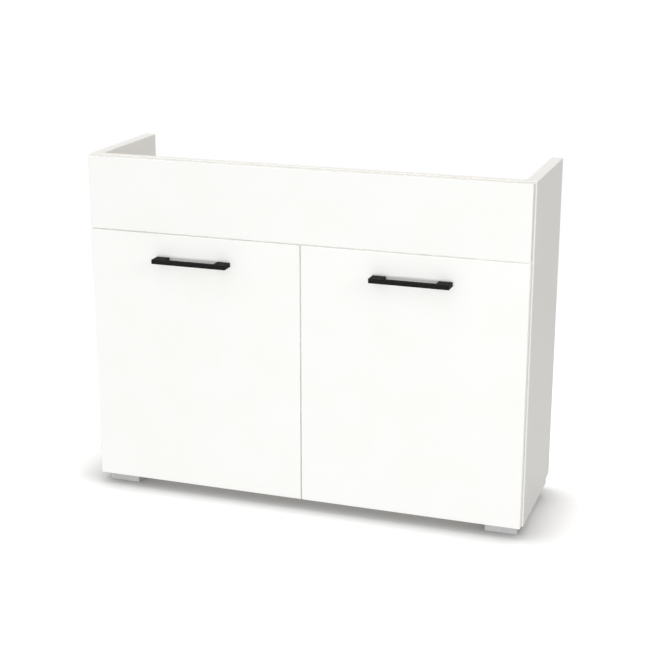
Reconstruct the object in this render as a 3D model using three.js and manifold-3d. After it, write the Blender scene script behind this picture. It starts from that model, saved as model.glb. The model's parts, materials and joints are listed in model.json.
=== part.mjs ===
// Sink base cabinet. Two overlay doors swing on concealed four-joint hinges below a fixed
// fascia; the top is open for the sink and the back is open for its pipes.
// Millimetres, +Z up, the front faces -Y. The origin lies on the floor, under the middle.

import * as THREE from 'three';
import { mergeVertices } from 'three/addons/utils/BufferGeometryUtils.js';
import Module from 'manifold-3d';

const wasm = await Module();
wasm.setup();

// ---------------------------------------------------------------- driving dimensions

// Carcass
const WIDTH = 1000;
const HEIGHT = 750;
const DEPTH = 284;
const SIDE_T = 25;
const BOARD_T = 16;
const REAR_RAIL_H = 100;
const REAR_RAIL_DROP = 90;
const NOTCH_D = 30;
const NOTCH_H = 12;

// Fascia and doors
const FRONT_T = 16;
const SIDE_REVEAL = 4;
const TOP_REVEAL = 3;
const FRONT_GAP = 3;
const FASCIA_H = 161;
const RAIL_OVERLAP = 13;
const DOOR_CLEARANCE = 1.5;
const EDGE_CHAMFER = 0.8;

// Handles
const HANDLE_L = 174;
const HANDLE_LEG = 30;
const HANDLE_BAR = 8;
const HANDLE_H = 10;
const HANDLE_REACH = 30;
const HANDLE_DROP = 55.5;
const HANDLE_CHAMFER = 0.5;
const HANDLE_FILLET = 2;

// Feet
const FOOT_W = 72;
const FOOT_D = 50;
const FOOT_H = 25;
const FOOT_INSET = 14;
const FOOT_SETBACK = 8;
const FOOT_REAR_GAP = 10;
const FOOT_CORNER = 1;
const FOOT_CHAMFER = 0.4;

// Screws: the head and shank of a pan-head screw, and how deep it bites
const SCREW_R = 2;
const SCREW_HEAD_R = 4.2;
const SCREW_HEAD_H = 2.4;
const COUNTERBORE_R = 5.5;
const COUNTERBORE_D = 9;
const FOOT_BITE = 12;
const FASCIA_BITE = 12;
const HANDLE_BITE = 12;
const FASCIA_SCREW_INSET = 150;
const FASCIA_SCREW_ROWS = 90;

// Cam connectors that hold the boards to the side panels
const CAM_R = 7.5;
const CAM_D = 12.5;
const CAM_SETBACK = 34;
const BOLT_R = 3.5;
const THREAD_R = 3;
const THREAD_BITE = 11;
const CONNECTOR_INSET = 80;

// Soft buffers on the backs of the doors
const BUMPER_R = 5;
const BUMPER_INSET = 15;

// Hinges. U runs inboard from the inner face of the side panel, V runs back from the
// carcass front, and W runs up from the middle of the hinge.
const HINGE_INSET = 90;
const CUP_R = 17.5;
const CUP_D = 12.7;
const CUP_WALL = 1.2;
const CUP_EDGE = 7;
const CUP_FLANGE_R = 19.5;
const CUP_FLANGE_T = 1;
const DOWEL_SPAN = 45;
const DOWEL_OFFSET = 9.5;
const DOWEL_R = 4;
const DOWEL_L = 10;
const PIN_R = 1.25;
const EYE_R = 2.2;
const LINK_HALF = 1.5;
const OUTER_ARM_PIN = [12.2, -0.87];
const OUTER_CUP_PIN = [-8.46, -4.58];
const INNER_ARM_PIN = [19.2, 4.72];
const INNER_CUP_PIN = [-9.23, -8.24];
const OUTER_BOW = 8.6;
const INNER_BOW = 9;
const FORK_REACH = 0.6;
const PIN_PLAY = 0.3;
const INNER_LINK_H = 7;
const OUTER_CHEEK = 2.2;
const LINK_GAP = 0.4;
const ARM_SHEET = 1.5;
const ARM_START = 13;
const ARM_END = 62;
const ARM_TOP = 22;
const PLATE_T = 2;
const PLATE_SETBACK = 37;
const PLATE_SPAN = 32;
const PLATE_WING_R = 8;
const PLATE_RAIL_L = 44;
const EURO_R = 3;
const EURO_L = 11;

// Clearances
const FIT = 0.15;
const AIR = 0.3;

// Sides of round forms: wide bowls, heads and cams, shanks and pins
const WIDE = 24;
const ROUND = 12;
const SLIM = 8;
const PIN_SIDES = 8;

// ---------------------------------------------------------------- derived places

const INNER_X = WIDTH / 2 - SIDE_T;
const DOOR_BACK = -DOOR_CLEARANCE;
const DOOR_FRONT = DOOR_BACK - FRONT_T;
const DOOR_OUTER_X = WIDTH / 2 - SIDE_REVEAL;
const DOOR_INNER_X = FRONT_GAP / 2;
const DOOR_MID_X = (DOOR_OUTER_X + DOOR_INNER_X) / 2;
const FASCIA_TOP = HEIGHT - TOP_REVEAL;
const FASCIA_Z = FASCIA_TOP - FASCIA_H;
const DOOR_H = FASCIA_Z - FRONT_GAP;
const FRONT_RAIL_Z = DOOR_H - RAIL_OVERLAP;
const FLOOR_BACK = DEPTH - NOTCH_D;
const UPPER_RAIL_Z = HEIGHT - REAR_RAIL_DROP - REAR_RAIL_H;
const HINGE_HEIGHTS = [DOOR_H - HINGE_INSET, HINGE_INSET];
const HANDLE_Z = DOOR_H - HANDLE_DROP;
const HANDLE_SCREW_X = (HANDLE_L - HANDLE_LEG) / 2;
const FOOT_X = WIDTH / 2 - FOOT_INSET - FOOT_W / 2;
const FOOT_REAR_Y = FLOOR_BACK - FOOT_REAR_GAP - FOOT_D;
const CUP_U = SIDE_REVEAL - SIDE_T + CUP_EDGE + CUP_R;
const OUTER_LINK_IN = INNER_LINK_H / 2 + LINK_GAP;
const OUTER_LINK_OUT = OUTER_LINK_IN + OUTER_CHEEK;
const ARM_IN = OUTER_LINK_OUT + LINK_GAP;
const ARM_OUT = ARM_IN + ARM_SHEET;

// ---------------------------------------------------------------- solids and booleans

function toSolid(geometry) {
  const bare = geometry.clone();
  bare.deleteAttribute('normal');
  bare.deleteAttribute('uv');
  const merged = mergeVertices(bare, 1e-4);
  return new wasm.Manifold(new wasm.Mesh({
    numProp: 3,
    vertProperties: new Float32Array(merged.getAttribute('position').array),
    triVerts: new Uint32Array(merged.getIndex().array),
  }));
}

function toGeometry(solid) {
  const mesh = solid.getMesh();
  const geometry = new THREE.BufferGeometry();
  geometry.setAttribute('position', new THREE.BufferAttribute(mesh.vertProperties, 3));
  geometry.setIndex(new THREE.BufferAttribute(mesh.triVerts, 1));
  geometry.computeVertexNormals();
  return geometry;
}

function join(geometries) {
  return toGeometry(geometries.map(toSolid).reduce((whole, next) => whole.add(next)));
}

function cut(geometry, tools) {
  return toGeometry(tools.map(toSolid).reduce((left, tool) => left.subtract(tool), toSolid(geometry)));
}

function within(geometry, limit) {
  return toGeometry(toSolid(geometry).intersect(toSolid(limit)));
}

function mirrored(geometry) {
  const copy = geometry.index ? geometry.clone() : mergeVertices(geometry);
  copy.scale(-1, 1, 1);
  const order = copy.getIndex();
  for (let i = 0; i < order.count; i += 3) {
    const second = order.getX(i + 1);
    order.setX(i + 1, order.getX(i + 2));
    order.setX(i + 2, second);
  }
  copy.computeVertexNormals();
  return copy;
}

// ---------------------------------------------------------------- basic forms

function box(x, y, z) {
  return new THREE.BoxGeometry(x[1] - x[0], y[1] - y[0], z[1] - z[0])
    .translate((x[0] + x[1]) / 2, (y[0] + y[1]) / 2, (z[0] + z[1]) / 2);
}

function rod(radius, from, to, sides = ROUND) {
  const start = new THREE.Vector3(...from);
  const end = new THREE.Vector3(...to);
  const along = end.clone().sub(start);
  const turn = new THREE.Quaternion().setFromUnitVectors(
    new THREE.Vector3(0, 1, 0), along.clone().normalize());
  const middle = start.add(end).multiplyScalar(0.5);
  return new THREE.CylinderGeometry(radius, radius, along.length(), sides)
    .applyQuaternion(turn).translate(middle.x, middle.y, middle.z);
}

function polygon(points) {
  return new THREE.Shape(points.map(([x, y]) => new THREE.Vector2(x, y)));
}

// A board whose outline lies in the plane of its face, with its banded edges chamfered.
function board(outline, thickness, chamfer = EDGE_CHAMFER) {
  return new THREE.ExtrudeGeometry(outline, {
    depth: thickness - 2 * chamfer,
    bevelEnabled: true,
    bevelThickness: chamfer,
    bevelSize: chamfer,
    bevelOffset: -chamfer,
    bevelSegments: 1,
  }).translate(0, 0, chamfer);
}

function plate(outline, from, to) {
  return new THREE.ExtrudeGeometry(outline, {
    depth: to - from, bevelEnabled: false, curveSegments: 4,
  }).translate(0, 0, from);
}

// Outlines drawn in (Y, Z) thicken along +X; outlines drawn in (X, Z) thicken along -Y.
const FACING_X = new THREE.Matrix4().makeBasis(
  new THREE.Vector3(0, 1, 0), new THREE.Vector3(0, 0, 1), new THREE.Vector3(1, 0, 0));
const FACING_Y = new THREE.Matrix4().makeBasis(
  new THREE.Vector3(1, 0, 0), new THREE.Vector3(0, 0, 1), new THREE.Vector3(0, -1, 0));

// ---------------------------------------------------------------- the assembly

const finishes = {
  laminate: { color: 0xf6f6f3, roughness: 0.42, metalness: 0 },
  black: { color: 0x232321, roughness: 0.45, metalness: 0.3 },
  silver: { color: 0xb9b9b6, roughness: 0.4, metalness: 0.6 },
  nickel: { color: 0xc4c3bf, roughness: 0.28, metalness: 1 },
  zinc: { color: 0xa9aaab, roughness: 0.4, metalness: 1 },
  clear: { color: 0xe4e6e4, roughness: 0.5, metalness: 0 },
};

const cabinet = new THREE.Group();
const FRONT_MOST = DOOR_FRONT - HANDLE_REACH;
cabinet.position.set(0, -(FRONT_MOST + DEPTH) / 2, FOOT_H);

function part(name, finish, geometry, z = 0) {
  const mesh = new THREE.Mesh(geometry, new THREE.MeshStandardMaterial(finishes[finish]));
  mesh.name = name;
  mesh.position.z = z;
  cabinet.add(mesh);
}

// Adds a piece drawn for the left, and its mirror image on the right.
function pair(name, finish, geometry, z = 0) {
  part(name('left'), finish, geometry, z);
  part(name('right'), finish, mirrored(geometry), z);
}

// ---------------------------------------------------------------- cam connectors

// Where a board end meets the left side panel: place, and the face the cam is drilled from.
const connectors = {
  bottom_front: { y: CONNECTOR_INSET, z: BOARD_T / 2, drilled: [0, 0, -1] },
  bottom_rear: { y: FLOOR_BACK - CONNECTOR_INSET, z: BOARD_T / 2, drilled: [0, 0, -1] },
  front_rail: { y: BOARD_T / 2, z: (FRONT_RAIL_Z + HEIGHT) / 2, drilled: [0, 1, 0] },
  rear_rail: { y: DEPTH - BOARD_T / 2, z: UPPER_RAIL_Z + REAR_RAIL_H / 2, drilled: [0, 1, 0] },
};

function inJoint({ y, z, drilled }, geometry) {
  const outward = new THREE.Vector3(-1, 0, 0);
  const face = new THREE.Vector3(...drilled);
  const across = new THREE.Vector3().crossVectors(face, outward);
  const frame = new THREE.Matrix4().makeBasis(outward, across, face).setPosition(-INNER_X, y, z);
  return geometry.applyMatrix4(frame);
}

function camConnector(joint) {
  const top = BOARD_T / 2;
  return join([
    rod(CAM_R, [-CAM_SETBACK, 0, top - CAM_D], [-CAM_SETBACK, 0, top]),
    rod(BOLT_R, [-CAM_SETBACK, 0, 0], [0, 0, 0], SLIM),
    rod(THREAD_R, [-1, 0, 0], [THREAD_BITE, 0, 0], SLIM),
  ].map((geometry) => inJoint(joint, geometry)));
}

function camBores(joint) {
  const top = BOARD_T / 2;
  return [
    rod(CAM_R + FIT, [-CAM_SETBACK, 0, top - CAM_D - FIT], [-CAM_SETBACK, 0, top + 1]),
    rod(BOLT_R + FIT, [-CAM_SETBACK, 0, 0], [1, 0, 0], SLIM),
  ].map((geometry) => inJoint(joint, geometry));
}

function boltBore(joint) {
  return inJoint(joint, rod(THREAD_R + FIT, [-1, 0, 0], [THREAD_BITE + FIT, 0, 0], SLIM));
}

function bothEnds(tools) {
  return [...tools, ...tools.map(mirrored)];
}

// ---------------------------------------------------------------- screws

// A pan-head screw whose head rests at the start and whose shank runs along the direction.
function screw(start, direction, length) {
  const along = new THREE.Vector3(...direction);
  const at = (distance) => along.clone().multiplyScalar(distance).add(new THREE.Vector3(...start)).toArray();
  return join([
    rod(SCREW_HEAD_R, at(-SCREW_HEAD_H), at(0)),
    rod(SCREW_R, at(-SCREW_HEAD_H / 2), at(length), SLIM),
  ]);
}

function screwBore(start, direction, length) {
  const along = new THREE.Vector3(...direction);
  const at = (distance) => along.clone().multiplyScalar(distance).add(new THREE.Vector3(...start)).toArray();
  return rod(SCREW_R + FIT, at(-1), at(length + FIT), SLIM);
}

const fasciaScrews = [-1, 1].flatMap((side) => [-1, 1].map((row) => [
  side * (INNER_X - FASCIA_SCREW_INSET),
  BOARD_T,
  (FASCIA_Z + FASCIA_TOP) / 2 + row * FASCIA_SCREW_ROWS / 2,
]));
const fasciaScrewLength = BOARD_T + FASCIA_BITE;
const handleScrewLength = FRONT_T + HANDLE_BITE;
const footScrewStart = COUNTERBORE_D - FOOT_H;
const footScrewLength = FOOT_BITE - footScrewStart;

// ---------------------------------------------------------------- hinges

function inHinge(geometry, height) {
  return geometry.clone().translate(-INNER_X, 0, height);
}

function pin([u, v], from, to, radius = PIN_R) {
  return rod(radius, [u, v, from], [u, v, to], PIN_SIDES);
}

// A bar of even width that bows to the left on its way from one pivot to the other.
function bowedBar(start, end, bow, from, to) {
  const [a, b] = [new THREE.Vector2(...start), new THREE.Vector2(...end)];
  const middle = a.clone().add(b).multiplyScalar(0.5);
  const half = b.clone().sub(a).multiplyScalar(0.5);
  const side = new THREE.Vector2(-half.y, half.x).normalize();
  const steps = 6;
  const edge = (sign) => Array.from({ length: steps + 1 }, (_, i) => {
    const t = -1 + 2 * i / steps;
    const centre = middle.clone().addScaledVector(half, t).addScaledVector(side, bow * (1 - t * t));
    const slope = half.clone().addScaledVector(side, -2 * bow * t).normalize();
    return centre.add(new THREE.Vector2(-slope.y, slope.x).multiplyScalar(sign * LINK_HALF));
  });
  return plate(new THREE.Shape([...edge(-1), ...edge(1).reverse()]), from, to);
}

// A straight bar with square ends from one point to another.
function bar([ax, ay], [bx, by], halfWidth, from, to) {
  const along = new THREE.Vector2(bx - ax, by - ay);
  return box([0, along.length()], [-halfWidth, halfWidth], [from, to])
    .rotateZ(along.angle()).translate(ax, ay, 0);
}

// The outline swept by a disc that moves from one point to another.
function stadium([ax, ay], [bx, by], radius) {
  const heading = Math.atan2(by - ay, bx - ax);
  const shape = new THREE.Shape();
  shape.absarc(ax, ay, radius, heading + Math.PI / 2, heading + 3 * Math.PI / 2);
  shape.absarc(bx, by, radius, heading - Math.PI / 2, heading + Math.PI / 2);
  return shape;
}

const dowels = [-1, 1].map((side) => [CUP_U + DOWEL_OFFSET, side * DOWEL_SPAN / 2]);

function hingeCup() {
  const mouth = DOOR_BACK + CUP_FLANGE_T;
  const bowl = rod(CUP_R - FIT, [CUP_U, DOOR_BACK - CUP_D, 0], [CUP_U, DOOR_BACK + 0.5, 0], WIDE);
  const hollow = rod(CUP_R - CUP_WALL,
    [CUP_U, DOOR_BACK - CUP_D + CUP_WALL, 0], [CUP_U, mouth + 1, 0], WIDE);
  const rim = rod(CUP_FLANGE_R, [CUP_U, DOOR_BACK, 0], [CUP_U, mouth, 0], WIDE);
  const wing = plate(stadium(dowels[0], dowels[1], CUP_FLANGE_R - CUP_R + DOWEL_R), 0, CUP_FLANGE_T)
    .applyMatrix4(FACING_Y).translate(0, mouth, 0);
  const pegs = dowels.map(([u, w]) => rod(DOWEL_R, [u, DOOR_BACK - DOWEL_L, w], [u, DOOR_BACK + 0.5, w], SLIM));
  const shell = cut(join([bowl, rim, wing, ...pegs]), [hollow]);
  const pins = [
    pin(OUTER_CUP_PIN, OUTER_LINK_IN + AIR, CUP_R),
    pin(OUTER_CUP_PIN, -CUP_R, -OUTER_LINK_IN - AIR),
    pin(INNER_CUP_PIN, -CUP_R, CUP_R),
  ].map((geometry) => within(geometry, bowl));
  return join([shell, ...pins]);
}

function outerLink() {
  const bars = [[-OUTER_LINK_OUT, -OUTER_LINK_IN], [OUTER_LINK_IN, OUTER_LINK_OUT]].flatMap(
    ([from, to]) => [
      bowedBar(OUTER_ARM_PIN, OUTER_CUP_PIN, OUTER_BOW, from, to),
      pin(OUTER_CUP_PIN, from, to, EYE_R),
    ]);
  const barrel = pin(OUTER_ARM_PIN, -OUTER_LINK_OUT, OUTER_LINK_OUT, EYE_R);
  const bores = [OUTER_ARM_PIN, OUTER_CUP_PIN].map(
    (place) => pin(place, -OUTER_LINK_OUT - 1, OUTER_LINK_OUT + 1, PIN_R + FIT));
  return cut(join([...bars, barrel]), bores);
}

// The cup end of the inner link is an open fork around its pin: while the door opens, the
// pin moves a little way along the fork.
function innerLink() {
  const half = INNER_LINK_H / 2;
  const reach = new THREE.Vector2(...INNER_CUP_PIN).sub(new THREE.Vector2(...INNER_ARM_PIN)).normalize();
  const beyond = (distance) => [
    INNER_CUP_PIN[0] + reach.x * distance, INNER_CUP_PIN[1] + reach.y * distance];
  const prong = PIN_R + PIN_PLAY;
  const fork = plate(stadium(INNER_CUP_PIN, beyond(FORK_REACH), EYE_R), -half, half);
  const mouth = bar(INNER_CUP_PIN, beyond(FORK_REACH + EYE_R), prong, -half - 1, half + 1);
  return cut(join([
    bowedBar(INNER_ARM_PIN, INNER_CUP_PIN, INNER_BOW, -half, half),
    pin(INNER_ARM_PIN, -half, half, EYE_R),
    fork,
  ]), [
    mouth,
    pin(INNER_CUP_PIN, -half - 1, half + 1, prong),
    pin(INNER_ARM_PIN, -half - 1, half + 1, PIN_R + FIT),
  ]);
}

function hingeArm() {
  const neck = 3;
  const cheekParts = ([from, to]) => [
    plate(stadium(OUTER_ARM_PIN, INNER_ARM_PIN, EYE_R), from, to),
    plate(stadium(INNER_ARM_PIN, [ARM_TOP - neck, ARM_START], neck), from, to),
    plate(stadium([PLATE_T + AIR + neck, ARM_START + 2 * neck], [ARM_TOP - neck, ARM_START], neck), from, to),
    box([PLATE_T + AIR + 2 * neck, ARM_TOP], [ARM_START, ARM_END], [from, to]),
  ];
  const web = box([ARM_TOP - ARM_SHEET, ARM_TOP], [ARM_START, ARM_END], [-ARM_OUT, ARM_OUT]);
  const screwV = ARM_END - PLATE_RAIL_L / 4;
  const fixing = [
    rod(SCREW_HEAD_R, [ARM_TOP - 0.5, screwV, 0], [ARM_TOP + SCREW_HEAD_H - 0.5, screwV, 0]),
    rod(SCREW_R, [PLATE_T + 4, screwV, 0], [ARM_TOP, screwV, 0], SLIM),
  ];
  return join([
    ...cheekParts([-ARM_OUT, -ARM_IN]),
    ...cheekParts([ARM_IN, ARM_OUT]),
    web,
    ...fixing,
    pin(OUTER_ARM_PIN, -ARM_OUT, ARM_OUT),
    pin(INNER_ARM_PIN, -ARM_OUT, ARM_OUT),
  ]);
}

function hingePlate() {
  const screwV = ARM_END - PLATE_RAIL_L / 4;
  const wing = plate(stadium([PLATE_SETBACK, -PLATE_SPAN / 2], [PLATE_SETBACK, PLATE_SPAN / 2],
    PLATE_WING_R), 0, PLATE_T).applyMatrix4(FACING_X);
  const base = box([0, PLATE_T], [ARM_END - PLATE_RAIL_L, ARM_END], [-ARM_OUT, ARM_OUT]);
  const rail = box([0, ARM_TOP - ARM_SHEET - AIR], [ARM_END - PLATE_RAIL_L, ARM_END],
    [-ARM_IN + AIR, ARM_IN - AIR]);
  const screws = plateScrews().flatMap(([v, w]) => [
    rod(EURO_R, [-EURO_L, v, w], [PLATE_T, v, w], SLIM),
    rod(SCREW_HEAD_R, [PLATE_T - 0.5, v, w], [PLATE_T + SCREW_HEAD_H - 0.5, v, w]),
  ]);
  const armScrewBore = rod(SCREW_R + FIT, [PLATE_T + 3, screwV, 0], [ARM_TOP, screwV, 0], SLIM);
  return cut(join([wing, base, rail, ...screws]), [armScrewBore]);
}

function plateScrews() {
  return [-1, 1].map((side) => [PLATE_SETBACK, side * PLATE_SPAN / 2]);
}

function panelHingeBores() {
  return HINGE_HEIGHTS.flatMap((height) => plateScrews().map(([v, w]) =>
    inHinge(rod(EURO_R + FIT, [-EURO_L - FIT, v, w], [1, v, w], SLIM), height)));
}

function doorHingeBores() {
  return HINGE_HEIGHTS.flatMap((height) => [
    inHinge(rod(CUP_R, [CUP_U, DOOR_BACK - CUP_D - FIT, 0], [CUP_U, DOOR_BACK + 1, 0], WIDE), height),
    ...dowels.map(([u, w]) =>
      inHinge(rod(DOWEL_R + FIT, [u, DOOR_BACK - DOWEL_L - FIT, w], [u, DOOR_BACK + 1, w], SLIM), height)),
  ]);
}

// ---------------------------------------------------------------- carcass

function sidePanel() {
  const outline = polygon([
    [0, 0], [FLOOR_BACK, 0], [FLOOR_BACK, NOTCH_H], [DEPTH, NOTCH_H], [DEPTH, HEIGHT], [0, HEIGHT],
  ]);
  const blank = board(outline, SIDE_T).applyMatrix4(FACING_X).translate(-WIDTH / 2, 0, 0);
  return cut(blank, [...Object.values(connectors).map(boltBore), ...panelHingeBores()]);
}
pair((side) => `side_panel_${side}`, 'laminate', sidePanel());

const span = [-INNER_X, INNER_X];
const footScrews = [FOOT_SETBACK + FOOT_D / 2, FOOT_REAR_Y + FOOT_D / 2].map((y) => [-FOOT_X, y, footScrewStart]);

part('bottom_panel', 'laminate', cut(
  box(span, [0, FLOOR_BACK], [0, BOARD_T]),
  bothEnds([
    ...camBores(connectors.bottom_front),
    ...camBores(connectors.bottom_rear),
    ...footScrews.map((start) => screwBore(start, [0, 0, 1], footScrewLength)),
  ])));

part('front_rail', 'laminate', cut(
  box(span, [0, BOARD_T], [FRONT_RAIL_Z, HEIGHT]),
  [
    ...bothEnds(camBores(connectors.front_rail)),
    ...fasciaScrews.map((start) => screwBore(start, [0, -1, 0], fasciaScrewLength)),
  ]));

part('rear_rail_upper', 'laminate', cut(
  box(span, [DEPTH - BOARD_T, DEPTH], [UPPER_RAIL_Z, UPPER_RAIL_Z + REAR_RAIL_H]),
  bothEnds(camBores(connectors.rear_rail))));

part('rear_rail_lower', 'laminate',
  box(span, [FLOOR_BACK - BOARD_T, FLOOR_BACK], [BOARD_T, BOARD_T + REAR_RAIL_H]));

for (const [place, joint] of Object.entries(connectors)) {
  pair((side) => `cam_connector_${place}_${side}`, 'zinc', camConnector(joint));
}

// ---------------------------------------------------------------- feet

function foot() {
  const [w, d, r] = [FOOT_W / 2, FOOT_D / 2, FOOT_CORNER];
  const outline = new THREE.Shape();
  outline.absarc(w - r, d - r, r, 0, Math.PI / 2);
  outline.absarc(-w + r, d - r, r, Math.PI / 2, Math.PI);
  outline.absarc(-w + r, -d + r, r, Math.PI, 3 * Math.PI / 2);
  outline.absarc(w - r, -d + r, r, 3 * Math.PI / 2, 2 * Math.PI);
  const block = new THREE.ExtrudeGeometry(outline, {
    depth: FOOT_H - 2 * FOOT_CHAMFER,
    bevelEnabled: true,
    bevelThickness: FOOT_CHAMFER,
    bevelSize: FOOT_CHAMFER,
    bevelOffset: -FOOT_CHAMFER,
    bevelSegments: 1,
    curveSegments: 2,
  }).translate(0, 0, FOOT_CHAMFER - FOOT_H);
  return cut(block, [
    rod(COUNTERBORE_R, [0, 0, -FOOT_H - 1], [0, 0, footScrewStart]),
    rod(SCREW_R + FIT, [0, 0, footScrewStart - 1], [0, 0, 1], SLIM),
  ]);
}

['front', 'rear'].forEach((end, i) => {
  const start = footScrews[i];
  pair((side) => `foot_${end}_${side}`, 'silver', foot().translate(start[0], start[1], 0));
  pair((side) => `foot_screw_${end}_${side}`, 'zinc', screw(start, [0, 0, 1], footScrewLength));
});

// ---------------------------------------------------------------- fascia

part('fascia_panel', 'laminate', cut(
  board(polygon([
    [-DOOR_OUTER_X, FASCIA_Z], [DOOR_OUTER_X, FASCIA_Z],
    [DOOR_OUTER_X, FASCIA_TOP], [-DOOR_OUTER_X, FASCIA_TOP],
  ]), FRONT_T).applyMatrix4(FACING_Y),
  fasciaScrews.map((start) => screwBore(start, [0, -1, 0], fasciaScrewLength))));

fasciaScrews.forEach((start, i) => {
  part(`fascia_screw_${i + 1}`, 'zinc', screw(start, [0, -1, 0], fasciaScrewLength));
});

// ---------------------------------------------------------------- doors and handles

const handleScrews = [-1, 1].map((end) => [-DOOR_MID_X + end * HANDLE_SCREW_X, DOOR_BACK, HANDLE_Z]);

function door() {
  const blank = board(polygon([
    [-DOOR_OUTER_X, 0], [-DOOR_INNER_X, 0], [-DOOR_INNER_X, DOOR_H], [-DOOR_OUTER_X, DOOR_H],
  ]), FRONT_T).applyMatrix4(FACING_Y).translate(0, DOOR_BACK, 0);
  const handleBores = handleScrews.map((start) => screwBore(start, [0, -1, 0], handleScrewLength));
  return cut(blank, [...doorHingeBores(), ...handleBores]);
}
pair((side) => `door_${side}`, 'laminate', door());

function handle() {
  const [end, leg] = [HANDLE_L / 2, HANDLE_L / 2 - HANDLE_LEG];
  const inside = HANDLE_BAR - HANDLE_REACH;
  const outline = new THREE.Shape();
  outline.moveTo(-end, 0);
  outline.lineTo(-end, -HANDLE_REACH);
  outline.lineTo(end, -HANDLE_REACH);
  outline.lineTo(end, 0);
  outline.lineTo(leg, 0);
  outline.absarc(leg - HANDLE_FILLET, inside + HANDLE_FILLET, HANDLE_FILLET, 0, -Math.PI / 2, true);
  outline.absarc(-leg + HANDLE_FILLET, inside + HANDLE_FILLET, HANDLE_FILLET, -Math.PI / 2, -Math.PI, true);
  outline.lineTo(-leg, 0);
  const bar = new THREE.ExtrudeGeometry(outline, {
    depth: HANDLE_H - 2 * HANDLE_CHAMFER,
    bevelEnabled: true,
    bevelThickness: HANDLE_CHAMFER,
    bevelSize: HANDLE_CHAMFER,
    bevelOffset: -HANDLE_CHAMFER,
    bevelSegments: 1,
    curveSegments: 3,
  }).translate(-DOOR_MID_X, DOOR_FRONT, HANDLE_Z - HANDLE_H / 2 + HANDLE_CHAMFER);
  return cut(bar, handleScrews.map((start) => screwBore(start, [0, -1, 0], handleScrewLength)));
}
pair((side) => `handle_${side}`, 'black', handle());

['outer', 'inner'].forEach((end, i) => {
  pair((side) => `handle_screw_${side}_${end}`, 'zinc', screw(handleScrews[i], [0, -1, 0], handleScrewLength));
});

// ---------------------------------------------------------------- door buffers

const bumperHeights = { top: DOOR_H - RAIL_OVERLAP / 2, bottom: BOARD_T / 2 };
for (const [end, z] of Object.entries(bumperHeights)) {
  const x = -DOOR_INNER_X - BUMPER_INSET;
  pair((side) => `door_bumper_${side}_${end}`, 'clear', rod(BUMPER_R, [x, DOOR_BACK, z], [x, 0, z]));
}

// ---------------------------------------------------------------- the four hinges

const hingePieces = {
  hinge_cup: hingeCup(),
  hinge_outer_link: outerLink(),
  hinge_inner_link: innerLink(),
  hinge_arm: hingeArm(),
  hinge_plate: hingePlate(),
};
['top', 'bottom'].forEach((end, i) => {
  for (const [piece, geometry] of Object.entries(hingePieces)) {
    pair((side) => `${piece}_${side}_${end}`, 'nickel', geometry.clone().translate(-INNER_X, 0, 0),
      HINGE_HEIGHTS[i]);
  }
});

export default cabinet;
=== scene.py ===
import json
import math

import bmesh
import bpy
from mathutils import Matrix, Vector

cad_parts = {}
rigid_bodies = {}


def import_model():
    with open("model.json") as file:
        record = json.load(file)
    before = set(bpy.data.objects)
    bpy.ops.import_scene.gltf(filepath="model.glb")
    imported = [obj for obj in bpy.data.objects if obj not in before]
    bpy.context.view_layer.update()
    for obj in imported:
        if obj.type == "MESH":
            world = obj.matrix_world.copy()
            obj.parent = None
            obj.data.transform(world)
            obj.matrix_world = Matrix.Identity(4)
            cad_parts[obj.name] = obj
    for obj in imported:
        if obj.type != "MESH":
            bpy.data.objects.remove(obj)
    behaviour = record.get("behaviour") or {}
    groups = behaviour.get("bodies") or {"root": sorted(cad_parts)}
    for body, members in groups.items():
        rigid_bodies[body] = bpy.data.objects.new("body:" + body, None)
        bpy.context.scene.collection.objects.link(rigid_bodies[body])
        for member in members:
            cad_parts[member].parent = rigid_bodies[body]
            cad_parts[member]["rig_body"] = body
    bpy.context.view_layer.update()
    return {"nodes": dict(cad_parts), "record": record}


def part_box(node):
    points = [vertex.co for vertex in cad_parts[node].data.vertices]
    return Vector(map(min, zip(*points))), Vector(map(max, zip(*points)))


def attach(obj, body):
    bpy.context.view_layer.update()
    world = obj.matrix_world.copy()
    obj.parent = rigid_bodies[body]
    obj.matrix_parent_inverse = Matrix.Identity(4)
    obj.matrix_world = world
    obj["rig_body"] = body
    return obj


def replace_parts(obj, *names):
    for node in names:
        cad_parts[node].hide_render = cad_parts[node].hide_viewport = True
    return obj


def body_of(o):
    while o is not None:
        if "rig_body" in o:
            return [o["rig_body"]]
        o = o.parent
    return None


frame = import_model()
nodes = frame["nodes"]


# ---------------------------------------------------------------- shader maths


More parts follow.
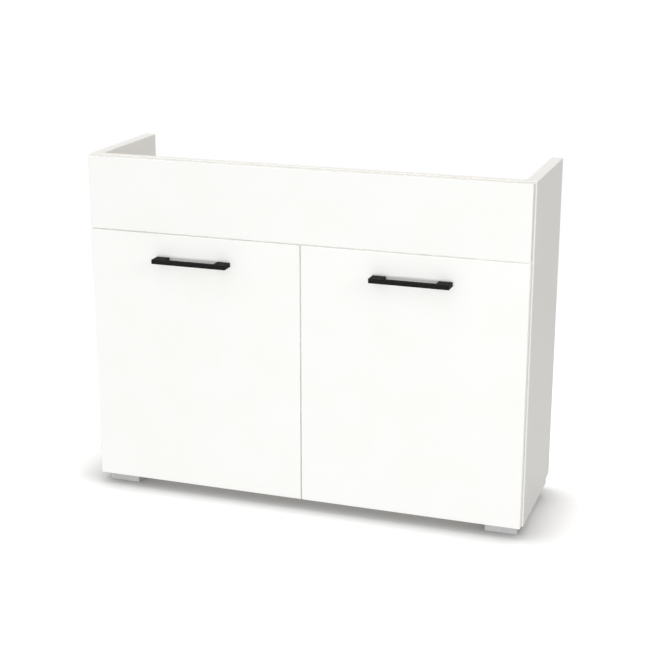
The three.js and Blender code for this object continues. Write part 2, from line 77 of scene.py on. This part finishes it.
class Tree:
    """One material's or world's node tree, with plain calls for the nodes used here."""

    def __init__(self, owner):
        owner.use_nodes = True
        self.tree = owner.node_tree
        self.tree.nodes.clear()

    def node(self, kind, inputs=None, **settings):
        made = self.tree.nodes.new(kind)
        for key, value in settings.items():
            setattr(made, key, value)
        for key, value in (inputs or {}).items():
            self.feed(made.inputs[key], value)
        return made

    def feed(self, socket, value):
        if isinstance(value, Value):
            value = value.socket
        if isinstance(value, bpy.types.NodeSocket):
            self.tree.links.new(value, socket)
        else:
            socket.default_value = value

    def value(self, node, output=0):
        return Value(self, node.outputs[output])

    def math(self, operation, *inputs, clamp=False):
        made = self.node("ShaderNodeMath", operation=operation, use_clamp=clamp)
        for socket, value in zip(made.inputs, inputs):
            self.feed(socket, value)
        return self.value(made)

    def mix(self, factor, a, b):
        made = self.node("ShaderNodeMix", data_type="RGBA")
        self.feed(made.inputs[0], factor)
        self.feed(made.inputs[6], a)
        self.feed(made.inputs[7], b)
        return self.value(made, 2)

    def noise(self, where, scale, detail=2.0, roughness=0.5):
        return self.value(self.node("ShaderNodeTexNoise", {
            "Vector": where, "Scale": scale, "Detail": detail, "Roughness": roughness}))

    def stretched(self, where, factors):
        made = self.node("ShaderNodeVectorMath", operation="MULTIPLY")
        self.feed(made.inputs[0], where)
        made.inputs[1].default_value = factors
        return self.value(made)

    def ramp(self, factor, low, high):
        made = self.node("ShaderNodeMapRange", {"From Min": low, "From Max": high}, clamp=True)
        self.feed(made.inputs["Value"], factor)
        return self.value(made)

    def along_normal(self, axis):
        """How squarely the surface faces along an axis of the object, either way."""
        normal = self.value(self.node("ShaderNodeTexCoord"), "Normal")
        made = self.node("ShaderNodeVectorMath", {0: normal, 1: axis}, operation="DOT_PRODUCT")
        return self.math("ABSOLUTE", self.value(made, "Value"))

    def bump(self, height, strength, distance):
        return self.value(self.node("ShaderNodeBump", {
            "Height": height, "Strength": strength, "Distance": distance}))

    def grey(self, level):
        return self.value(self.node("ShaderNodeCombineColor", {
            "Red": level, "Green": level, "Blue": level}))

    def blend(self, factor, under, over):
        """Two shaders, the second laid over the first by the factor."""
        return self.node("ShaderNodeMixShader", {0: factor, 1: under.outputs[0], 2: over.outputs[0]})

    def cover(self, shader, output="ShaderNodeOutputMaterial"):
        self.node(output, {"Surface": shader.outputs[0]})

    def surface(self, **inputs):
        self.cover(self.node("ShaderNodeBsdfPrincipled", {
            key.replace("_", " "): value for key, value in inputs.items()}))


class Value:
    """A node output that takes part in plain arithmetic."""

    def __init__(self, tree, socket):
        self.tree = tree
        self.socket = socket

    def __add__(self, other):
        return self.tree.math("ADD", self, other)

    def __mul__(self, other):
        return self.tree.math("MULTIPLY", self, other)

    def __rsub__(self, other):
        return self.tree.math("SUBTRACT", other, self)

    __radd__ = __add__
    __rmul__ = __mul__


def linear(code, alpha=1.0):
    """A linear colour from an sRGB hex code."""
    channels = [int(code[i:i + 2], 16) / 255 for i in (0, 2, 4)]
    return (*[c / 12.92 if c <= 0.04045 else ((c + 0.055) / 1.055) ** 2.4 for c in channels], alpha)


# ---------------------------------------------------------------- materials


def new_tree(name):
    material = bpy.data.materials.new(name)
    return material, Tree(material)


def position(tree):
    return tree.value(tree.node("ShaderNodeTexCoord"), "Object")


def laminate(name, bright, dull, band, rough, across):
    """Melamine-faced board, thin along one axis: a faint cloudiness in the white and the fine
    pebble of its press plate on the broad faces, and a smoother band round the edges."""
    material, tree = new_tree(name)
    where = position(tree)
    clouds = tree.noise(where, scale=9.0, detail=3.0)
    pebble = tree.noise(where, scale=900.0, roughness=0.6)
    along_edge = [0.06 if part == 0 else 1.0 for part in across]
    streaks = tree.noise(tree.stretched(where, along_edge), scale=400.0)
    face = tree.ramp(tree.along_normal(across), 0.55, 0.85)
    board = tree.mix(tree.ramp(clouds, 0.3, 0.7), linear(dull), linear(bright))
    edging = tree.mix(tree.ramp(clouds, 0.3, 0.7), linear(band), linear(dull))
    tree.surface(
        Base_Color=tree.mix(face, edging, board),
        Roughness=rough - 0.05 + 0.05 * face + 0.08 * tree.ramp(pebble, 0.3, 0.7),
        Normal=tree.bump(pebble * face + streaks * (1 - face) * 0.5, strength=0.06, distance=0.0002),
        Specular_IOR_Level=0.28,
    )
    return material


def satin_black(name):
    """Powder-like black finish with a fine grain along the handle's bar."""
    material, tree = new_tree(name)
    where = position(tree)
    grain = tree.noise(tree.stretched(where, (0.15, 1.0, 1.0)), scale=1400.0, detail=3.0)
    cloud = tree.noise(where, scale=35.0)
    tree.surface(
        Base_Color=tree.mix(tree.ramp(cloud, 0.3, 0.7), linear("1a1a1a"), linear("1e1e1d")),
        Roughness=0.62 + 0.14 * grain,
        Specular_IOR_Level=0.08,
        Normal=tree.bump(grain, strength=0.12, distance=0.0002),
    )
    return material


def metallic(name, dark, light, rough, stretch, scale, metal=1.0):
    """Plated or metallic surface with a directional grain and cloudy sheen."""
    material, tree = new_tree(name)
    where = position(tree)
    grain = tree.noise(tree.stretched(where, stretch), scale, detail=3.0, roughness=0.6)
    cloud = tree.noise(where, scale=60.0)
    shade = tree.ramp(grain * 0.6 + cloud * 0.4, 0.3, 0.7)
    tree.surface(
        Base_Color=tree.mix(shade, linear(dark), linear(light)),
        Roughness=rough + 0.12 * tree.ramp(cloud, 0.3, 0.7),
        Metallic=metal,
        Normal=tree.bump(grain, strength=0.08, distance=0.0001),
    )
    return material


def soft_clear(name):
    """Milky clear elastomer."""
    material, tree = new_tree(name)
    cloud = tree.noise(position(tree), scale=250.0)
    tree.surface(
        Base_Color=tree.mix(tree.ramp(cloud, 0.3, 0.7), linear("d6dad8"), linear("e9ecea")),
        Roughness=0.3 + 0.2 * cloud,
        Transmission_Weight=0.35,
    )
    return material


ACROSS_X, ACROSS_Y, ACROSS_Z = (1, 0, 0), (0, 1, 0), (0, 0, 1)
front_look = {"bright": "fafaf8", "dull": "f8f8f5", "band": "f4f4f1", "rough": 0.46}
carcass_look = {"bright": "f5f3ee", "dull": "f4f1ec", "band": "f1efea", "rough": 0.48}
front_white = laminate("laminate_front", across=ACROSS_Y, **front_look)
boards = {
    "side_panel": laminate("laminate_side", across=ACROSS_X, **carcass_look),
    "bottom_panel": laminate("laminate_bottom", across=ACROSS_Z, **carcass_look),
    "front_rail": laminate("laminate_rail", across=ACROSS_Y, **carcass_look),
    "fascia_panel": front_white,
    "door_left": front_white,
    "door_right": front_white,
}
boards["rear_rail"] = boards["front_rail"]
finishes = {
    "black": satin_black("handle_black"),
    "silver": metallic("foot_silver", dark="b2b2b2", light="bfbfbf", rough=0.38,
                       stretch=(1.0, 1.0, 0.08), scale=500.0, metal=0.15),
    "nickel": metallic("hinge_nickel", dark="b7b6b3", light="c8c7c4", rough=0.24,
                       stretch=(1.0, 0.1, 1.0), scale=1200.0),
    "zinc": metallic("screw_zinc", dark="9d9fa0", light="b6b8b8", rough=0.34,
                     stretch=(1.0, 1.0, 1.0), scale=1200.0),
    "clear": soft_clear("bumper_clear"),
}
slots = {s["node"]: s["material_slot"] for s in frame["record"]["subparts"]}
for name, node in nodes.items():
    board = [finish for start, finish in boards.items() if name.startswith(start)]
    node.data.materials.clear()
    node.data.materials.append(board[0] if board else finishes[slots[name]])


# ---------------------------------------------------------------- screws and cam connectors

FACE_RINGS = 16
SHARP_EDGE = math.radians(35)

# Lengths in millimetres
DOME_STEP, DOME_DROP = 0.2, 0.001
PAN_HEAD_R, PAN_HEAD_H = 4.2, 2.4
RAISED_HEAD_R, RAISED_HEAD_H = 4.5, 3.3
SHANK_R, PLAIN_SHANK, SCREW_TIP = 2.0, 3.0, 1.5
CAM_R, CAM_DEPTH, CAM_RIM = 7.5, 12.5, 0.3
CAM_DIAL_STEP = 0.26
CAM_GROOVE_R, CAM_GROOVE_DEPTH = 5.6, 0.4
BOLT_R, BOLT_THREAD_R, BOLT_L, BOLT_PLAIN_L = 3.5, 3.0, 45.0, 34.5
BOLT_TO_CAM_FACE = 8.0
CHIPBOARD_SCREW_TO_PLATE = 13.0
ARM_SCREW_STANDS_OUT = 1.9
SAME_PLACE = 0.5

# How far a driver's cross reaches, half of how wide it is, and how deep it goes
PAN_CROSS = (2.2, 0.5, 1.4)
RAISED_CROSS = (2.4, 0.55, 1.25)
CAM_CROSS = (3.4, 0.9, 2.4)


def smooth_step(value, low, high):
    t = min(max((value - low) / (high - low), 0.0), 1.0)
    return t * t * (3 - 2 * t)


def cross_recess(x, y, reach, half_width, depth):
    """How deep the driver's cross is pressed in at a point of a head."""
    along, across = max(abs(x), abs(y)), min(abs(x), abs(y))
    inside = 1 - smooth_step(across, 0.7 * half_width, 1.3 * half_width)
    inside *= 1 - smooth_step(along, 0.85 * reach, 1.1 * reach)
    return depth * inside * (1 - 0.45 * along / reach)


def turned(made, start, axis, rings, sides=40, cross=None):
    """Adds a solid turned about an axis to a bmesh. Its rings, each a radius and a height,
    run over its surface from one end's middle to the other's, and the cross, if any, is
    pressed into the first ones."""
    axis = Vector(axis)
    u = axis.orthogonal().normalized()
    v = axis.cross(u)
    loops = []
    for radius, height in rings:
        loop = []
        for i in range(sides if radius > 0 else 1):
            angle = 2 * math.pi * i / sides
            x, y = radius * math.cos(angle), radius * math.sin(angle)
            pressed = cross_recess(x, y, *cross) if cross and len(loops) < FACE_RINGS else 0
            place = u * x + v * y + axis * (height - pressed)
            loop.append(made.verts.new(Vector(start) + place / 1000))
        loops.append(loop)
    for a, b in zip(loops, loops[1:]):
        for i in range(sides):
            corners = [a[i % len(a)], b[i % len(b)], b[(i + 1) % len(b)], a[(i + 1) % len(a)]]
            made.faces.new(list(dict.fromkeys(corners)))


def thread(radius, cut, half_pitch, count):
    """Rings that step in and out along a thread, from its start."""
    return [(radius - cut * (i % 2), half_pitch * i) for i in range(count)]


def pan_head(radius, height):
    """Rings of a pan head, from the middle of its top out to the edge of its foot."""
    dome = [(DOME_STEP * i, height - DOME_DROP * i * i) for i in range(FACE_RINGS)]
    shoulder = [(0.81, 0.3), (0.89, 0.45), (0.957, 0.75), (1.0, 1.25)]
    return dome + [(share * radius, height - drop) for share, drop in shoulder] + [
        (radius, 0.25), (0.965 * radius, 0.0)]


def piece_beside(node, made, name):
    """The bmesh as a finished piece on the same body as a CAD node and in its finish."""
    bmesh.ops.recalc_face_normals(made, faces=made.faces)
    mesh = bpy.data.meshes.new(name)
    made.to_mesh(mesh)
    made.free()
    mesh.shade_smooth()
    mesh.set_sharp_from_angle(angle=SHARP_EDGE)
    mesh.materials.append(finishes[slots[node]])
    piece = bpy.data.objects.new(mesh.name, mesh)
    bpy.context.collection.objects.link(piece)
    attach(piece, body_of(nodes[node])[0])
    return piece


def stand_in(node, made):
    """The bmesh as a finished piece in the place of a CAD node and on its body."""
    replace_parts(piece_beside(node, made, node + "_detail"), node)


def middle_of(points):
    return sum(points, Vector()) / len(points)


def corners_at(node, x):
    """The corners of a CAD node that lie at a place across the cabinet."""
    places = [vertex.co for vertex in nodes[node].data.vertices]
    return [place for place in places if abs(place.x - x) < SAME_PLACE / 1000]


def pan_head_screw(node, axis):
    """A pan-head screw with a cross recess, whose head faces along the axis."""
    low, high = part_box(node)
    axis = Vector(axis)
    length = 1000 * abs((high - low).dot(axis)) - PAN_HEAD_H
    start = (low + high) / 2 + axis * (length - PAN_HEAD_H) / 2000
    half_pitch, cut = 0.5, 0.3
    turns = thread(SHANK_R, cut, half_pitch, int((length - 2 * PLAIN_SHANK) / half_pitch))
    made = bmesh.new()
    turned(made, start, axis, [
        *pan_head(PAN_HEAD_R, PAN_HEAD_H),
        (SHANK_R, 0.0),
        (SHANK_R, half_pitch - PLAIN_SHANK),
        *[(radius, -PLAIN_SHANK - along) for radius, along in turns],
        (SHANK_R - cut, SCREW_TIP - length),
        (0.3 * SHANK_R, -length),
        (0.0, -length),
    ], cross=PAN_CROSS)
    stand_in(node, made)


def cam_connector(node, outward):
    """A cam with a cross in its face and, square to it, the bolt whose thread bites the side."""
    low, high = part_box(node)
    bolt_tip = middle_of(corners_at(node, high.x if outward > 0 else low.x))
    facing = (low + high) / 2 - bolt_tip
    facing.x = 0
    facing = Vector([round(c / facing.length) for c in facing])
    seat = bolt_tip - Vector((outward * BOLT_L / 1000, 0, 0))
    made = bmesh.new()
    turned(made, seat + facing * BOLT_TO_CAM_FACE / 1000, facing, [
        *[(CAM_DIAL_STEP * i, 0.0) for i in range(FACE_RINGS)],
        (CAM_GROOVE_R, 0.0),
        (CAM_GROOVE_R + 0.15, -CAM_GROOVE_DEPTH),
        (CAM_GROOVE_R + 0.55, -CAM_GROOVE_DEPTH),
        (CAM_GROOVE_R + 0.7, 0.0),
        (CAM_R - CAM_RIM, 0.0),
        (CAM_R, -CAM_RIM),
        (CAM_R, CAM_RIM - CAM_DEPTH),
        (CAM_R - CAM_RIM, -CAM_DEPTH),
        (0.0, -CAM_DEPTH),
    ], cross=CAM_CROSS)
    turns = thread(BOLT_THREAD_R, cut=0.5, half_pitch=0.75, count=13)
    turned(made, seat, (outward, 0, 0), [
        (0.0, 0.0),
        (BOLT_R, 0.0),
        (BOLT_R, BOLT_PLAIN_L - 0.7),
        (BOLT_R - 0.3, BOLT_PLAIN_L - 0.3),
        *[(radius, BOLT_PLAIN_L + along) for radius, along in turns],
        (0.8 * BOLT_THREAD_R, BOLT_L - 0.4),
        (1.6, BOLT_L),
        (0.0, BOLT_L),
    ], sides=28)
    stand_in(node, made)


def raised_head(node, name, foot, inboard):
    """A raised pan head over the plain head of a screw that is part of a hinge piece."""
    made = bmesh.new()
    rings = pan_head(RAISED_HEAD_R, RAISED_HEAD_H) + [(0.0, 0.0)]
    turned(made, foot, (inboard, 0, 0), rings, cross=RAISED_CROSS)
    piece_beside(node, made, name)


def plate_screw_heads(node, inboard):
    """Heads on the two chipboard screws, whose tips are the plate's outermost corners."""
    low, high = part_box(node)
    middle_z = (low.z + high.z) / 2
    tips = corners_at(node, low.x if inboard > 0 else high.x)
    to_face = Vector((inboard * CHIPBOARD_SCREW_TO_PLATE / 1000, 0, 0))
    for side, place in ((1, "upper"), (-1, "lower")):
        tip = middle_of([corner for corner in tips if (corner.z - middle_z) * side > 0])
        raised_head(node, node + "_screw_" + place, tip + to_face, inboard)


def arm_screw_head(node, inboard):
    """A head on the screw that clamps the arm, whose plain head is the arm's innermost part."""
    low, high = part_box(node)
    top = middle_of(corners_at(node, high.x if inboard > 0 else low.x))
    to_foot = Vector((inboard * ARM_SCREW_STANDS_OUT / 1000, 0, 0))
    raised_head(node, node + "_screw", top - to_foot, inboard)


for name in nodes:
    outward = -1 if "_left" in name else 1
    if name.startswith(("fascia_screw", "handle_screw")):
        pan_head_screw(name, (0, 1, 0))
    elif name.startswith("foot_screw"):
        pan_head_screw(name, (0, 0, -1))
    elif name.startswith("cam_connector"):
        cam_connector(name, outward)
    elif name.startswith("hinge_plate"):
        plate_screw_heads(name, -outward)
    elif name.startswith("hinge_arm"):
        arm_screw_head(name, -outward)


# ---------------------------------------------------------------- floor, light and camera

FLOOR_SPAN, FLOOR_DROP = 30, 0.0005
# The floor's brightening for the camera, and the share of it kept where the painted contact shade is
# deepest
FLOOR_LIFT, FLOOR_PAINTED_SHADE = 1.53, 0.3
AMBIENT = 0.535


def seen_rays(tree):
    """One where the camera sees a surface, straight or in a reflection, else zero."""
    path = tree.node("ShaderNodeLightPath")
    camera_ray, mirrored, through = [tree.value(path, "Is %s Ray" % kind) for kind in (
        "Camera", "Glossy", "Transmission")]
    return tree.math("MAXIMUM", camera_ray, tree.math("MAXIMUM", mirrored, through))


def pale_floor(name, painted_shade_reach, open_radius):
    """A floor that the camera sees as white, except where the object shades it and where painted
    shade from an ambient occlusion node darkens its colour near the object, and that lets all
    other rays through, so that the underside is softly lit."""
    material, tree = new_tree(name)
    rays = seen_rays(tree)
    # Painted shade: the ambient occlusion value darkens the floor's colour close to the object, as a
    # contact shadow
    shade = tree.value(tree.node("ShaderNodeAmbientOcclusion", {
        "Distance": painted_shade_reach}, samples=8), "AO")
    lift_with_painted_shade = FLOOR_LIFT * (FLOOR_PAINTED_SHADE + (1 - FLOOR_PAINTED_SHADE) * shade)
    distance = tree.node("ShaderNodeVectorMath", {0: position(tree)}, operation="LENGTH")
    away = tree.ramp(tree.value(distance, "Value"), open_radius, 1.5 * open_radius)
    open_air = tree.node("ShaderNodeBsdfTransparent")
    lifted = tree.node("ShaderNodeBsdfDiffuse", {"Color": tree.grey(lift_with_painted_shade)})
    white = tree.node("ShaderNodeEmission", {"Color": linear("ffffff"), "Strength": 1.0})
    tree.cover(tree.blend(rays, open_air, tree.blend(away, lifted, white)))
    return material


bpy.ops.mesh.primitive_plane_add(size=FLOOR_SPAN, location=(0, 0, -FLOOR_DROP))
floor = bpy.context.object
floor.name = "floor"
floor.data.materials.append(pale_floor("floor_white_painted_shade", painted_shade_reach=0.1, open_radius=1.6))

world = bpy.data.worlds.new("studio")
bpy.context.scene.world = world
sky = Tree(world)
seen = sky.node("ShaderNodeBackground", {"Color": linear("ffffff"), "Strength": 1.0})
ambient = sky.node("ShaderNodeBackground", {"Color": linear("ffffff"), "Strength": AMBIENT})
sky.cover(sky.blend(seen_rays(sky), ambient, seen), "ShaderNodeOutputWorld")


def area_light(name, place, target, size, power):
    """A lamp that shines from a place towards a target."""
    light = bpy.data.lights.new(name, "AREA")
    light.shape = "RECTANGLE"
    light.size, light.size_y = size
    light.energy = power
    lamp = bpy.data.objects.new(name, light)
    bpy.context.collection.objects.link(lamp)
    lamp.location = place
    lamp.rotation_mode = "QUATERNION"
    lamp.rotation_quaternion = (Vector(target) - Vector(place)).to_track_quat("-Z", "Y")
    return lamp


def seam_fill(receivers, place, target, size, power):
    """A lamp without shadows on a few nodes alone, for their edges inside narrow gaps."""
    lamp = area_light("seam_fill", place, target, size, power)
    lamp.data.use_shadow = False
    lit = bpy.data.collections.new("seam_fill_receivers")
    for receiver in receivers:
        lit.objects.link(nodes[receiver])
    lamp.light_linking.receiver_collection = lit


area_light("front_soft", place=(-0.1, -9.0, 0.15), target=(0, 0, 0.4), size=(1.8, 1.8), power=342)
area_light("right_soft", place=(4.2, -1.9, 2.4), target=(0.5, 0, 0.5), size=(1.6, 1.4), power=19)
area_light("overhead_soft", place=(-0.1, 0.1, 3.4), target=(0, 0, 0), size=(1.3, 1.3), power=30)
seam_fill(["door_left", "door_right"],
          place=(3.4, -0.15, 5.5), target=(0, -0.15, 0.5), size=(1.5, 1.5), power=120)

AZIMUTH, ELEVATION = math.radians(19.084), math.radians(16.659)
CAMERA_PLACE = (1.05243, -3.01433, 1.34937)
SENSOR_MM, FOCAL_MM = 36, 81.988
lens = bpy.data.cameras.new("camera")
lens.sensor_width = SENSOR_MM
lens.lens = FOCAL_MM
lens.clip_start, lens.clip_end = 0.1, 50
camera = bpy.data.objects.new("camera", lens)
bpy.context.collection.objects.link(camera)
back = Vector((
    math.sin(AZIMUTH) * math.cos(ELEVATION),
    -math.cos(AZIMUTH) * math.cos(ELEVATION),
    math.sin(ELEVATION),
))
camera.location = CAMERA_PLACE
camera.rotation_mode = "QUATERNION"
camera.rotation_quaternion = (-back).to_track_quat("-Z", "Y")
bpy.context.scene.camera = camera

view = bpy.context.scene.view_settings
bpy.context.scene.display_settings.display_device = "sRGB"
view.view_transform = "Standard"
